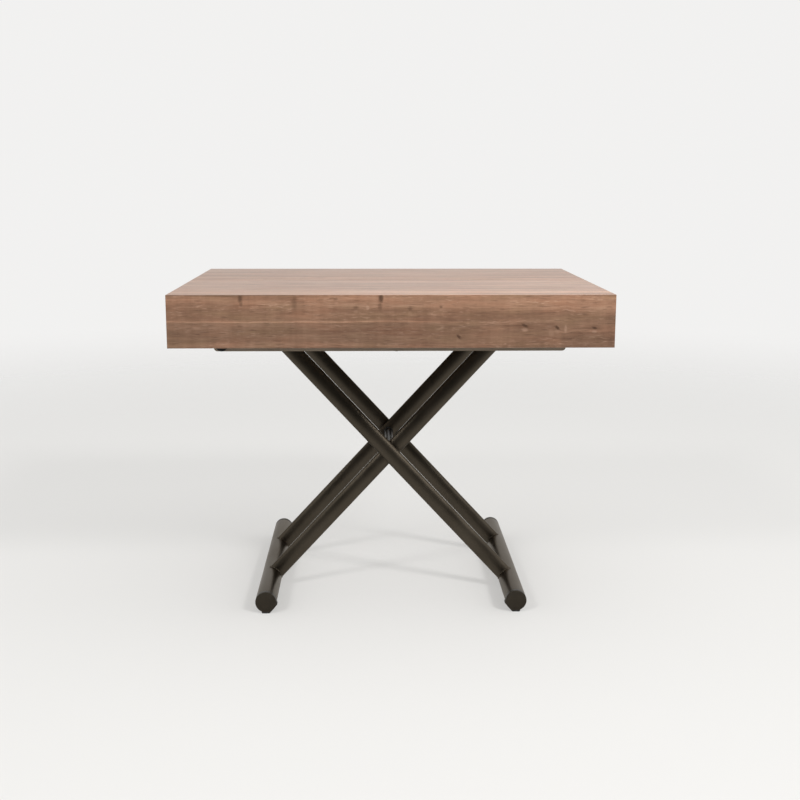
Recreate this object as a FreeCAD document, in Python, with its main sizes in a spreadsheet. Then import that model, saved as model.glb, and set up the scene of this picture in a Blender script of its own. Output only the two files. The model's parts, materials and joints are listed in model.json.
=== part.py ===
import FreeCAD, Part
import os
import re

# Convertible coffee and dining table: a boxed extending top on a scissor lift.
# Frame: millimetres, +X along the long apron, +Y to the rear, +Z up.
# Origin: on the floor, under the middle of the closed top, at dining height.

doc = FreeCAD.newDocument("convertible_table")
sheet = doc.addObject("Spreadsheet::Sheet", "dims")

sizes = {
    # boxed top
    "table_height": 768,
    "top_length": 1000,
    "top_width": 760,
    "panel_thickness": 22,
    "seam_gap": 1,
    "dowel_diameter": 8,
    "dowel_embed": 15,
    "dowel_reach": 12,
    "dowel_spacing": 380,
    "dowel_clearance": 0.2,
    # extension slides
    "bar_height": 14.2,
    "bar_end_gap": 28,
    "bar_proud": 4,
    "runner_wall": 3.6,
    "runner_back": 4,
    "runner_width": 22,
    "runner_below_board": 2,
    "runner_end_gap": 6,
    "spacer_thickness": 16,
    "spacer_length": 30,
    "spacer_end_inset": 30,
    "slide_clearance": 0.2,
    "bracket_thickness": 6,
    "bracket_width": 63,
    # loose leaves and their tray
    "leaf_gap": 4,
    "leaf_side_gap": 4,
    "leaf_end_gap": 6,
    "leaf_clearance": 3.4,
    "tray_thickness": 4,
    "tray_side_gap": 8,
    # rails under the top
    "rail_below_apron": 0.4,
    "rail_depth": 28,
    "rail_wall": 2.5,
    "rail_end_inset": 78.2,
    "rail_corner_radius": 9,
    "rail_side_gap": 8.5,
    "bearer_width": 40,
    "bearer_thickness": 4,
    "bearer_inset": 73,
    "rivet_diameter": 6,
    "rivet_head_diameter": 10,
    "rivet_head_height": 3,
    "strap_width": 30,
    "strap_thickness": 3,
    "strap_offset": 15,
    "strap_overlap": 20,
    "strap_clearance": 0.5,
    "screw_diameter": 5,
    "screw_head_diameter": 9,
    "screw_head_height": 2.5,
    # leg frames
    "foot_offset": 299.5,
    "head_offset": 258.34,
    "foot_length": 622,
    "foot_diameter": 50,
    "foot_wall": 2.5,
    "cap_thickness": 14,
    "cap_spigot_length": 24,
    "glide_drop": 2.5,
    "glide_width": 19,
    "glide_shoulder": 4,
    "arm_depth": 40,
    "arm_thickness": 20,
    "arm_wall": 2,
    "arm_head_gap": 8,
    "inner_arm_offset": 121.5,
    "arm_gap": 0.4,
    "head_tube_diameter": 28,
    "axle_diameter": 16,
    "axle_end_inset": 3,
    "shaft_diameter": 20,
    "shaft_past_arm_middle": 6,
    "bush_wall": 2,
    "bush_flange_reach": 4,
    "bush_flange_thickness": 1.6,
    "running_clearance": 0.05,
    # sliders and gas spring
    "slider_length": 32,
    "slider_width": 22,
    "gas_eye_wall": 4,
    "gas_eye_width": 18,
    "gas_neck_length": 3,
    "gas_cylinder_diameter": 22,
    "gas_cylinder_wall": 2,
    "gas_end_thickness": 12,
    "gas_stroke": 240,
    "gas_end_room": 20,
    "gas_rod_diameter": 10,
    "gas_piston_length": 12,
    # height release button
    "button_diameter": 28,
    "button_head_thickness": 3,
    "button_end_inset": 19.3,
    "button_edge_gap": 0.6,
    "button_press_gap": 0.5,
    "button_shank_diameter": 12,
    "button_flange_reach": 1.5,
    "button_flange_thickness": 2,
    "button_stem_diameter": 8,
    "button_stem_length": 8,
    "button_travel": 4,
    "housing_width": 12,
    "housing_top_gap": 5,
    "housing_wall": 2,
}

# Levels and places that follow from the sizes above.
formulas = {
    "half_length": "top_length / 2",
    "half_width": "top_width / 2",
    "inner_half_length": "top_length / 2 - panel_thickness",
    "inner_half_width": "top_width / 2 - panel_thickness",
    "board_bottom": "table_height - panel_thickness",
    "half_seam": "seam_gap / 2",
    "slot_height": "bar_height + 2 * slide_clearance",
    "runner_height": "3 * runner_wall + 2 * slot_height",
    "runner_bottom": "board_bottom - runner_below_board - runner_height",
    # the box is as deep as the runners, two layers of leaves and the tray need
    "tray_top": "runner_bottom - leaf_clearance - 2 * panel_thickness",
    "bearer_top": "tray_top - tray_thickness",
    "rail_top": "bearer_top - bearer_thickness",
    "apron_bottom": "rail_top + rail_below_apron",
    # the rails are as high as the gas spring and the strap under it need
    "rail_height": "gas_cylinder_diameter + 2 * (strap_clearance + strap_thickness + rail_wall)",
    "rail_bottom": "rail_top - rail_height",
    "head_height": "rail_top - rail_height / 2",
    "rail_length": "top_length - 2 * rail_end_inset",
    "bearer_offset": "inner_half_length - bearer_inset",
    "bar_length": "2 * inner_half_width - bar_end_gap",
    "lower_bar_bottom": "runner_bottom + runner_wall + slide_clearance",
    "upper_bar_bottom": "lower_bar_bottom + slot_height + runner_wall",
    "bar_outer": "inner_half_length - spacer_thickness",
    "runner_outer": "bar_outer - bar_proud",
    "runner_inner": "runner_outer - runner_width",
    "bar_inner": "runner_inner + runner_back + slide_clearance",
    "runner_half_length": "inner_half_width - runner_end_gap",
    "leaf_half_length": "inner_half_length - leaf_side_gap",
    "tray_half_length": "inner_half_length - tray_side_gap",
    "tray_half_width": "runner_half_length - bracket_thickness - leaf_end_gap",
    "leaf_width": "tray_half_width - leaf_gap / 2",
    "foot_height": "foot_diameter / 2 + glide_drop",
    "foot_bore": "foot_diameter - 2 * foot_wall",
    "arm_rise": "head_height - foot_height",
    "arm_run": "foot_offset + head_offset",
    "pivot_height": "foot_height + foot_offset * arm_rise / arm_run",
    "arm_length": "sqrt(arm_rise ^ 2 + arm_run ^ 2)",
    "lower_arm": "arm_length * foot_offset / arm_run",
    "outer_arm_offset": "inner_arm_offset + arm_thickness + bush_flange_thickness + arm_gap",
    "rail_outer_offset": "outer_arm_offset + arm_thickness / 2 + rail_side_gap + rail_depth",
    "slider_outer": "rail_outer_offset - rail_wall - slide_clearance",
    "axle_half_length": "slider_outer - axle_end_inset",
    "outer_tube_half": "outer_arm_offset + arm_thickness / 2",
    "inner_tube_half": "inner_arm_offset + arm_thickness / 2",
    "shaft_half_length": "outer_arm_offset + shaft_past_arm_middle",
    "eye_bore_radius": "head_tube_diameter / 2 + running_clearance",
    "eye_radius": "eye_bore_radius + gas_eye_wall",
    "piston_travel": "gas_stroke + gas_piston_length",
    "cylinder_length": "2 * gas_end_thickness + piston_travel + gas_end_room",
    "cylinder_right": "head_offset - eye_radius - gas_neck_length",
    "cylinder_left": "cylinder_right - cylinder_length",
    "piston_right": "cylinder_left + gas_end_thickness + piston_travel",
    "button_x": "-rail_length / 2 + button_end_inset",
    "button_height": "rail_bottom + button_edge_gap + button_diameter / 2",
    "button_standoff": "button_travel + button_press_gap",
    "web_inner": "-rail_outer_offset + rail_wall",
    "flange_front": "web_inner + running_clearance",
    "housing_front": "flange_front + button_flange_thickness + button_travel",
}

for row, (alias, value) in enumerate(sizes.items(), start=1):
    sheet.set("A%d" % row, alias)
    sheet.set("B%d" % row, str(value))
    sheet.setAlias("B%d" % row, alias)
doc.recompute()

pieces = []


# Formula text for one property: size names become cells, named levels are written out.
def cells(text):
    def swap(match):
        word = match.group()
        if word in sizes:
            return "dims." + word
        if word in formulas:
            return "(" + cells(formulas[word]) + ")"
        return word

    return re.sub(r"[a-z_]+", swap, str(text))


def bind(obj, **properties):
    for name, text in properties.items():
        obj.setExpression(name, cells(text))
    return obj


def place(obj, x=0, y=0, z=0, axis=None, angle=0):
    if axis:
        turn = FreeCAD.Rotation(FreeCAD.Vector(*axis), angle)
        obj.Placement = FreeCAD.Placement(FreeCAD.Vector(), turn)
    for coordinate, text in (("x", x), ("y", y), ("z", z)):
        obj.setExpression("Placement.Base." + coordinate, cells(text))
    return obj


def keep(obj, label):
    obj.Label = label
    pieces.append(obj)
    return obj


# A block from its low corner and its three sides.
def block(x, y, z, length, width, height):
    box = doc.addObject("Part::Box", "block")
    bind(box, Length=length, Width=width, Height=height)
    return place(box, x, y, z)


# A round bar from the centre of its first end, along one row axis.
def rod(along, radius, length, x=0, y=0, z=0):
    turns = {"x": ((0, 1, 0), 90), "y": ((1, 0, 0), -90), "z": (None, 0)}
    bar = doc.addObject("Part::Cylinder", "rod")
    bind(bar, Radius=radius, Height=length)
    return place(bar, x, y, z, *turns[along])


def cut(base, *tools):
    for tool in tools:
        result = doc.addObject("Part::Cut", "cut")
        result.Base = base
        result.Tool = tool
        base = result
    return base


def fuse(*shapes):
    result = doc.addObject("Part::MultiFuse", "fuse")
    result.Shapes = list(shapes)
    return result


def group(*shapes):
    result = doc.addObject("Part::Compound", "group")
    result.Links = list(shapes)
    return result


# A flat panel with mitred edges: the outer face is full size, the inner face is
# drawn in by the panel's thickness on each mitred edge.
def mitred_panel(low_x, high_x, low_z, high_z, mitres, **where):
    left, right, bottom, top = ("panel_thickness" if edge in mitres else "0" for edge in "lrbt")
    panel = doc.addObject("Part::Wedge", "panel")
    bind(panel, Xmin=low_x, Xmax=high_x, Zmin=low_z, Zmax=high_z, Ymin="0", Ymax="panel_thickness")
    bind(panel, X2min="%s + %s" % (low_x, left), X2max="%s - %s" % (high_x, right))
    bind(panel, Z2min="%s + %s" % (low_z, bottom), Z2max="%s - %s" % (high_z, top))
    return place(panel, **where)


# One half of the boxed top. side is -1 for the front half and 1 for the rear half.
def half_top(name, side):
    if side < 0:
        board_span = ("-half_width", "-half_seam", "lrb")
        left_span = ("half_seam", "half_width", "rt")
        right_span = ("-half_width", "-half_seam", "lt")
        long_place = {"y": "-half_width"}
        bar_bottom = "upper_bar_bottom"
    else:
        board_span = ("half_seam", "half_width", "lrt")
        left_span = ("-half_width", "-half_seam", "lt")
        right_span = ("half_seam", "half_width", "rt")
        long_place = {"y": "half_width", "axis": (0, 0, 1), "angle": 180}
        bar_bottom = "lower_bar_bottom"

    low_y, high_y, mitres = board_span
    lie_flat = {"z": "table_height", "axis": (1, 0, 0), "angle": -90}
    board = mitred_panel("-half_length", "half_length", low_y, high_y, mitres, **lie_flat)
    dowel_room = "0" if side < 0 else "dowel_clearance"
    keep(cut(board, *dowels(dowel_room)), name + "_top_board")

    upright = ("apron_bottom", "table_height")
    apron = mitred_panel("-half_length", "half_length", *upright, "lrt", **long_place)
    keep(apron, name + "_apron")
    left_place = {"x": "-half_length", "axis": (0, 0, 1), "angle": -90}
    keep(mitred_panel(*left_span[:2], *upright, left_span[2], **left_place), name + "_left_apron")
    right_place = {"x": "half_length", "axis": (0, 0, 1), "angle": 90}
    keep(mitred_panel(*right_span[:2], *upright, right_span[2], **right_place), name + "_right_apron")

    bar_y = "-inner_half_width" if side < 0 else "inner_half_width - bar_length"
    bar_width = "bar_outer - bar_inner"
    left_bar = block("-bar_outer", bar_y, bar_bottom, bar_width, "bar_length", "bar_height")
    keep(left_bar, name + "_left_slide_bar")
    right_bar = block("bar_inner", bar_y, bar_bottom, bar_width, "bar_length", "bar_height")
    keep(right_bar, name + "_right_slide_bar")

    spacers = []
    far = "inner_half_width - spacer_end_inset"
    near = "half_seam + spacer_end_inset"
    starts = ("-(%s)" % far, "-(%s) - spacer_length" % near)
    if side > 0:
        starts = ("%s - spacer_length" % far, near)
    for start in starts:
        for low_x in ("-inner_half_length", "bar_outer"):
            spacer = block(low_x, start, bar_bottom, "spacer_thickness", "spacer_length", "bar_height")
            spacers.append(spacer)
    keep(group(*spacers), name + "_slide_spacers")


# Pins across the seam, half sunk in the front board; with clearance, their holes.
def dowels(clearance):
    pins = []
    for step in (-1, 0, 1):
        radius = "dowel_diameter / 2 + %s" % clearance
        length = "dowel_embed + seam_gap + dowel_reach + 2 * %s" % clearance
        start = "-half_seam - dowel_embed"
        middle = "table_height - panel_thickness / 2"
        pins.append(rod("y", radius, length, "%d * dowel_spacing" % step, start, middle))
    return pins


# Double-slot runner on one side: the front half's bar rides in the upper slot.
def runner(name, side):
    low_x = "runner_inner" if side > 0 else "-runner_outer"
    span = "2 * runner_half_length"
    body = block(low_x, "-runner_half_length", "runner_bottom", "runner_width", span, "runner_height")
    slot_x = "runner_inner + runner_back" if side > 0 else "-runner_outer"
    slots = []
    for bottom in ("lower_bar_bottom", "upper_bar_bottom"):
        low_z = "%s - slide_clearance" % bottom
        depth = "runner_width - runner_back"
        slots.append(block(slot_x, "-runner_half_length", low_z, depth, span, "slot_height"))
    keep(cut(body, *slots), name)


def storage():
    plates = []
    for low_x in ("-runner_outer", "runner_outer - bracket_width"):
        for low_y in ("-runner_half_length", "runner_half_length - bracket_thickness"):
            height = "runner_bottom - bearer_top"
            plates.append(block(low_x, low_y, "bearer_top", "bracket_width", "bracket_thickness", height))
    keep(group(*plates), "runner_brackets")

    span = "2 * tray_half_length"
    depth = "2 * tray_half_width"
    tray = block("-tray_half_length", "-tray_half_width", "bearer_top", span, depth, "tray_thickness")
    keep(tray, "storage_tray")

    leaves = (
        ("front_leaf", "-tray_half_width", "tray_top"),
        ("rear_leaf", "leaf_gap / 2", "tray_top"),
        ("upper_leaf", "-leaf_width / 2", "tray_top + panel_thickness"),
    )
    for label, low_y, low_z in leaves:
        length = "2 * leaf_half_length"
        leaf = block("-leaf_half_length", low_y, low_z, length, "leaf_width", "panel_thickness")
        keep(leaf, label)


# Pressed steel channel with rounded, closed ends, open towards the table's middle.
def rail(name, side):
    half = "rail_length / 2"
    low_y = "-rail_outer_offset" if side < 0 else "rail_outer_offset - rail_depth"
    outside = block("-" + half, low_y, "rail_bottom", "rail_length", "rail_depth", "rail_height")
    inside_y = low_y + " + rail_wall" if side < 0 else low_y
    inside = block(
        "-%s + rail_wall" % half, inside_y, "rail_bottom + rail_wall",
        "rail_length - 2 * rail_wall", "rail_depth - rail_wall", "rail_height - 2 * rail_wall",
    )
    corner = sheet.get("rail_corner_radius")
    shell = cut(rounded(outside, corner), rounded(inside, corner - sheet.get("rail_wall")))
    holes = [strap_screw(side)]
    holes += [rivet(step, side) for step in (-1, 1)]
    if side < 0:
        radius = "button_shank_diameter / 2 + running_clearance"
        holes.append(rod("y", radius, "rail_wall", "button_x", "-rail_outer_offset", "button_height"))
    keep(cut(shell, *holes), name)


# Round the four edges that run along Y.
def rounded(box, radius):
    doc.recompute()
    result = doc.addObject("Part::Fillet", "rounded")
    result.Base = box
    along_y = []
    for number, edge in enumerate(box.Shape.Edges, start=1):
        if abs(edge.tangentAt(edge.FirstParameter).y) > 0.99:
            along_y.append((number, radius, radius))
    result.Edges = along_y
    return result


def strap_screw(side):
    y = "%d * (rail_outer_offset - rail_depth / 2)" % side
    head_z = "rail_bottom - screw_head_height"
    head = rod("z", "screw_head_diameter / 2", "screw_head_height", "strap_offset", y, head_z)
    shank_length = "rail_wall + strap_thickness"
    shank = rod("z", "screw_diameter / 2", shank_length, "strap_offset", y, "rail_bottom")
    return fuse(head, shank)


def rivet(step, side):
    x = "%d * bearer_offset" % step
    y = "%d * (rail_outer_offset - rail_depth / 2)" % side
    head_z = "rail_top - rail_wall - rivet_head_height"
    head = rod("z", "rivet_head_diameter / 2", "rivet_head_height", x, y, head_z)
    shank_length = "rail_wall + bearer_thickness"
    shank = rod("z", "rivet_diameter / 2", shank_length, x, y, "rail_top - rail_wall")
    return fuse(head, shank)


def underframe():
    rail("front_rail", -1)
    rail("rear_rail", 1)
    for label, step in (("left_bearer", -1), ("right_bearer", 1)):
        low_x = "%d * bearer_offset - bearer_width / 2" % step
        size = ("bearer_width", "2 * runner_half_length", "bearer_thickness")
        bearer = block(low_x, "-runner_half_length", "rail_top", *size)
        keep(cut(bearer, *[rivet(step, side) for side in (-1, 1)]), label)
    rivets = [rivet(step, side) for step in (-1, 1) for side in (-1, 1)]
    keep(group(*rivets), "bearer_rivets")

    strap_half = "(rail_outer_offset - rail_depth + strap_overlap)"
    low_x = "strap_offset - strap_width / 2"
    low_z = "rail_bottom + rail_wall"
    strap = block(low_x, "-" + strap_half, low_z, "strap_width", "2 * " + strap_half, "strap_thickness")
    keep(cut(strap, strap_screw(-1), strap_screw(1)), "centre_strap")
    keep(group(strap_screw(-1), strap_screw(1)), "strap_screws")


# Oval tube from the foot's axis towards the head's axis, along its own +Z, coped
# on both tubes. pivot is the tool that opens it for the pivot.
def arm(label, foot_x, offset, turn, pivot):
    tubes = []
    for wall in ("0", "arm_wall"):
        section = doc.addObject("Part::Ellipse", "oval")
        bind(section, MajorRadius="arm_depth / 2 - " + wall, MinorRadius="arm_thickness / 2 - " + wall)
        length = doc.addObject("Part::Extrusion", "oval_bar")
        length.Base = section
        length.DirMode = "Custom"
        length.Dir = FreeCAD.Vector(0, 0, 1)
        length.Solid = True
        bind(length, LengthFwd="arm_length - arm_head_gap")
        tubes.append(length)
    reach = "-arm_thickness"
    foot_cope = rod("y", "foot_diameter / 2", "2 * arm_thickness", "0", reach, "0")
    head_cope = rod("y", "head_tube_diameter / 2", "2 * arm_thickness", "0", reach, "arm_length")
    result = cut(*tubes, foot_cope, head_cope, pivot)
    place(result, foot_x, offset, "foot_height", (0, 1, 0), 1)
    result.setExpression("Placement.Rotation.Angle", cells(turn))
    keep(result, label)


# Hollow cross tube with plain ends, centred on the table's middle.
def cross_tube(label, outer, inner, half, x, z):
    low_y = "-(%s)" % half
    span = "2 * (%s)" % half
    keep(cut(rod("y", outer, span, x, low_y, z), rod("y", inner, span, x, low_y, z)), label)


# One leg frame: two arms, the foot tube, the head tube and its axle. pivots holds
# the tools that open the front arm and the rear arm for the pivot.
def leg_frame(name, foot_x, head_x, turn, pivots):
    for place_name, side, pivot in zip(("front", "rear"), (-1, 1), pivots):
        label = "%s_arm_%s" % (name, place_name)
        arm(label, foot_x, "%d * %s_arm_offset" % (side, name), turn, pivot)
    foot_half = "foot_length / 2 - cap_thickness"
    cross_tube(name + "_foot_tube", "foot_diameter / 2", "foot_bore / 2", foot_half, foot_x, "foot_height")
    head_z = "head_height"
    tube_outer = "head_tube_diameter / 2"
    tube_half = name + "_tube_half"
    cross_tube(name + "_head_tube", tube_outer, "axle_diameter / 2", tube_half, head_x, head_z)
    low_y = "-axle_half_length"
    axle = rod("y", "axle_diameter / 2", "2 * axle_half_length", head_x, low_y, head_z)
    keep(axle, name + "_head_axle")


# The shaft ends inside the outer arms, so only their inner walls are opened.
def outer_pivot(side):
    low_y = "-arm_thickness" if side > 0 else "-shaft_past_arm_middle"
    length = "arm_thickness + shaft_past_arm_middle"
    return rod("y", "shaft_diameter / 2", length, "0", low_y, "lower_arm")


def inner_pivot():
    radius = "shaft_diameter / 2 + running_clearance + bush_wall"
    return rod("y", radius, "2 * arm_thickness", "0", "-arm_thickness", "lower_arm")


# Plastic bushes in the inner arms; their flanges keep the arms apart.
def pivot_parts():
    half = "shaft_half_length"
    shaft = rod("y", "shaft_diameter / 2", "2 * " + half, "0", "-" + half, "pivot_height")
    keep(shaft, "pivot_shaft")
    bushes = []
    bore = "shaft_diameter / 2 + running_clearance"
    for side in (-1, 1):
        inner_face = "inner_arm_offset - arm_thickness / 2"
        outer_face = "inner_arm_offset + arm_thickness / 2"
        sleeve_y = inner_face if side > 0 else "-(%s)" % outer_face
        flange_y = outer_face if side > 0 else "-(%s) - bush_flange_thickness" % outer_face
        sleeve = rod("y", bore + " + bush_wall", "arm_thickness", "0", sleeve_y, "pivot_height")
        size = (bore + " + bush_wall + bush_flange_reach", "bush_flange_thickness")
        flange = rod("y", *size, "0", flange_y, "pivot_height")
        hole_y = "%s - 2 * arm_thickness" % sleeve_y
        hole = rod("y", bore, "4 * arm_thickness", "0", hole_y, "pivot_height")
        bushes.append(cut(fuse(sleeve, flange), hole))
    keep(group(*bushes), "pivot_bushes")


# Caps that turn in the foot tube's ends and stay level, each on a flat glide.
def foot_caps(name, x):
    glides = []
    for place_name, side in (("front", -1), ("rear", 1)):
        tip = "%d * foot_length / 2" % side
        head_y = tip if side < 0 else tip + " - cap_thickness"
        head = rod("y", "foot_diameter / 2", "cap_thickness", x, head_y, "foot_height")
        radius = "foot_bore / 2 - running_clearance"
        spigot_y = head_y + " + cap_thickness" if side < 0 else head_y + " - cap_spigot_length"
        spigot = rod("y", radius, "cap_spigot_length", x, spigot_y, "foot_height")
        keep(fuse(head, spigot), "%s_cap_%s" % (name, place_name))
        low_x = "%s - glide_width / 2" % x
        pad = block(low_x, head_y, "0", "glide_width", "cap_thickness", "glide_drop + glide_shoulder")
        cope = rod("y", "foot_diameter / 2", "cap_thickness", x, head_y, "foot_height")
        glides.append(cut(pad, cope))
    keep(group(*glides), name + "_glides")


# Plastic blocks that slide in the rails, one on each end of a head axle.
def sliders(label, x):
    blocks = []
    for side in (-1, 1):
        low_y = "-slider_outer" if side < 0 else "slider_outer - slider_width"
        height = "(rail_height - 2 * rail_wall - 2 * slide_clearance)"
        low_x = "%s - slider_length / 2" % x
        low_z = "head_height - %s / 2" % height
        body = block(low_x, low_y, low_z, "slider_length", "slider_width", height)
        bore = "axle_diameter / 2 + running_clearance"
        blocks.append(cut(body, rod("y", bore, "slider_width", x, low_y, "head_height")))
    keep(group(*blocks), label)


def gas_eye(x):
    return rod("y", "eye_radius", "gas_eye_width", x, "-gas_eye_width / 2", "head_height")


def eye_bore(x):
    return rod("y", "eye_bore_radius", "gas_eye_width", x, "-gas_eye_width / 2", "head_height")


# Pulling gas spring between the two head tubes, level with their axles.
def gas_spring():
    middle = ("0", "head_height")
    outer = rod("x", "gas_cylinder_diameter / 2", "cylinder_length", "cylinder_left", *middle)
    neck_length = "gas_neck_length + gas_eye_wall"
    neck = rod("x", "gas_rod_diameter / 2", neck_length, "cylinder_right", *middle)
    chamber_radius = "gas_cylinder_diameter / 2 - gas_cylinder_wall"
    chamber_length = "cylinder_length - 2 * gas_end_thickness"
    chamber_left = "cylinder_left + gas_end_thickness"
    chamber = rod("x", chamber_radius, chamber_length, chamber_left, *middle)
    gland_radius = "gas_rod_diameter / 2 + running_clearance"
    gland = rod("x", gland_radius, "gas_end_thickness", "cylinder_left", *middle)
    body = fuse(outer, neck, gas_eye("head_offset"))
    keep(cut(body, chamber, gland, eye_bore("head_offset")), "gas_cylinder")

    left = "-head_offset + eye_bore_radius"
    stem = rod("x", "gas_rod_diameter / 2", "piston_right - (%s)" % left, left, *middle)
    piston_radius = chamber_radius + " - running_clearance"
    piston_left = "piston_right - gas_piston_length"
    piston = rod("x", piston_radius, "gas_piston_length", piston_left, *middle)
    keep(cut(fuse(stem, piston, gas_eye("-head_offset")), eye_bore("-head_offset")), "gas_rod")


# Push button with a broad head before the front rail's left end, on a housing inside the rail.
def release_button():
    height = "button_height"
    head_y = "-rail_outer_offset - button_standoff - button_head_thickness"
    head = rod("y", "button_diameter / 2", "button_head_thickness", "button_x", head_y, height)
    shank_y = "-rail_outer_offset - button_standoff"
    shank_length = "button_standoff + rail_wall + running_clearance"
    shank = rod("y", "button_shank_diameter / 2", shank_length, "button_x", shank_y, height)
    flange_size = ("button_shank_diameter / 2 + button_flange_reach", "button_flange_thickness")
    flange = rod("y", *flange_size, "button_x", "flange_front", height)
    stem_y = "flange_front + button_flange_thickness"
    stem = rod("y", "button_stem_diameter / 2", "button_stem_length", "button_x", stem_y, height)
    keep(fuse(head, shank, flange, stem), "release_button")

    low_x = "button_x - housing_width / 2"
    depth = "-rail_outer_offset + rail_depth - (housing_front)"
    low_z = "rail_bottom + rail_wall"
    case_height = "rail_height - 2 * rail_wall - housing_top_gap"
    case = block(low_x, "housing_front", low_z, "housing_width", depth, case_height)
    bore = "button_stem_diameter / 2 + running_clearance"
    case_depth = depth + " - housing_wall"
    keep(cut(case, rod("y", bore, case_depth, "button_x", "housing_front", height)), "button_housing")


half_top("front", -1)
half_top("rear", 1)
keep(group(*dowels("0")), "alignment_dowels")
runner("left_runner", -1)
runner("right_runner", 1)
storage()
underframe()
# The outer frame's feet are on the right and its head is on the left.
lean = "90 deg - atan(arm_rise / arm_run)"
leg_frame("outer", "foot_offset", "-head_offset", "-(%s)" % lean, (outer_pivot(-1), outer_pivot(1)))
leg_frame("inner", "-foot_offset", "head_offset", lean, (inner_pivot(), inner_pivot()))
pivot_parts()
foot_caps("outer", "foot_offset")
foot_caps("inner", "-foot_offset")
sliders("left_sliders", "-head_offset")
sliders("right_sliders", "head_offset")
gas_spring()
release_button()
doc.recompute()

for obj in doc.Objects:
    if "Invalid" in obj.State or "Error" in obj.State:
        raise RuntimeError("%s failed: %s" % (obj.Label, obj.State))
for piece in pieces:
    if piece.Shape.isNull() or not piece.Shape.isValid():
        raise RuntimeError("%s has no valid shape" % piece.Label)

os.makedirs("parts", exist_ok=True)
for piece in pieces:
    piece.Shape.exportStep("parts/%s.step" % piece.Label)
    print(piece.Label, "solids", len(piece.Shape.Solids), "volume %.0f" % piece.Shape.Volume)
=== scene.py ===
import json
import math

import bmesh
import bpy
import numpy as np
from mathutils import Matrix, Vector


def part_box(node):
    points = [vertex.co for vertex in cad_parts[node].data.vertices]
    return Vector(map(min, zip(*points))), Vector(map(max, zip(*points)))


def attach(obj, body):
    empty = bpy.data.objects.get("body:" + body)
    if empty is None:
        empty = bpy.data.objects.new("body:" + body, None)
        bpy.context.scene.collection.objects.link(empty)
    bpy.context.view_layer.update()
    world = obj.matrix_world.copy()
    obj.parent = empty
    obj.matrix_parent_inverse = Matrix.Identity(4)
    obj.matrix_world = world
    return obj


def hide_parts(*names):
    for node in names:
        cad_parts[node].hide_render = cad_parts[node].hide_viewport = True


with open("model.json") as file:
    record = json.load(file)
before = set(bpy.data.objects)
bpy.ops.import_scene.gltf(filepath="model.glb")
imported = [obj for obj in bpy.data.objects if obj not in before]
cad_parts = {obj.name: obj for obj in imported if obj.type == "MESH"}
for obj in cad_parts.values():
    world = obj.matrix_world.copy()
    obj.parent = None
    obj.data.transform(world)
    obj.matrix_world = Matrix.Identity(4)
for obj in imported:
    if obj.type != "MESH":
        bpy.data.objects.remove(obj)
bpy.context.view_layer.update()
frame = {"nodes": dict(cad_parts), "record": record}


# camera at the photograph's place: angles in degrees, focal length in pixels of the square picture
camera = {
    "place": (-0.0498, -2.969, 1.0227),
    "yaw": 1.5031,
    "pitch": 10.749,
    "roll": 0.0953,
    "focal": 1170.64,
    "picture": 800,
    "sensor": 36.0,
}


def addCamera(spec):
    lens = bpy.data.cameras.new("photoCamera")
    lens.sensor_width = spec["sensor"]
    lens.lens = spec["focal"] / spec["picture"] * spec["sensor"]
    eye = bpy.data.objects.new("photoCamera", lens)
    turn = Matrix.Rotation(-math.radians(spec["yaw"]), 4, "Z")
    turn = turn @ Matrix.Rotation(math.radians(90 - spec["pitch"]), 4, "X")
    turn = turn @ Matrix.Rotation(math.radians(spec["roll"]), 4, "Z")
    eye.matrix_world = Matrix.Translation(spec["place"]) @ turn
    bpy.context.scene.collection.objects.link(eye)
    bpy.context.scene.camera = eye


addCamera(camera)
print("camera set")


# node helpers: a value is either a socket to link or a constant to set
def feed(tree, sockets, values):
    for name, value in values.items():
        if isinstance(value, bpy.types.NodeSocket):
            tree.links.new(value, sockets[name])
        else:
            sockets[name].default_value = value


def addNode(tree, kind, inputs=None, **settings):
    node = tree.nodes.new(kind)
    for name, value in settings.items():
        setattr(node, name, value)
    feed(tree, node.inputs, inputs or {})
    return node


def calc(tree, operation, first, second=0.0, third=0.0):
    return addNode(tree, "ShaderNodeMath", {0: first, 1: second, 2: third}, operation=operation).outputs[0]


def times(tree, first, second):
    return calc(tree, "MULTIPLY", first, second)


def remap(tree, value, fromLow, fromHigh, toLow=0.0, toHigh=1.0, smooth=False):
    kind = "SMOOTHSTEP" if smooth else "LINEAR"
    ends = {1: fromLow, 2: fromHigh, 3: toLow, 4: toHigh}
    return addNode(tree, "ShaderNodeMapRange", {0: value, **ends}, interpolation_type=kind).outputs[0]


def noise(tree, vector, scale, detail=2.0, roughness=0.5):
    inputs = {"Vector": vector, "Scale": scale, "Detail": detail, "Roughness": roughness}
    return addNode(tree, "ShaderNodeTexNoise", inputs).outputs["Fac"]


# noise drawn out along the grain: along and across are its scales per metre
def grainNoise(tree, vector, along, across, detail=2.0, roughness=0.5):
    drawn = addNode(tree, "ShaderNodeMapping", {"Vector": vector, "Scale": (along, across, across)})
    return noise(tree, drawn.outputs[0], 1.0, detail, roughness)


def vectorCalc(tree, operation, first, second):
    return addNode(tree, "ShaderNodeVectorMath", {0: first, 1: second}, operation=operation).outputs[0]


def splitVector(tree, vector):
    return addNode(tree, "ShaderNodeSeparateXYZ", {0: vector}).outputs[:]


def makeVector(tree, x=0.0, y=0.0, z=0.0):
    return addNode(tree, "ShaderNodeCombineXYZ", {0: x, 1: y, 2: z}).outputs[0]


def ramp(tree, value, stops):
    node = addNode(tree, "ShaderNodeValToRGB", {0: value})
    bar = node.color_ramp.elements
    while len(bar) < len(stops):
        bar.new(0.5)
    for mark, (place, colour) in zip(bar, stops):
        mark.position = place
        mark.color = (*colour, 1.0)
    return node.outputs[0]


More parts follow.
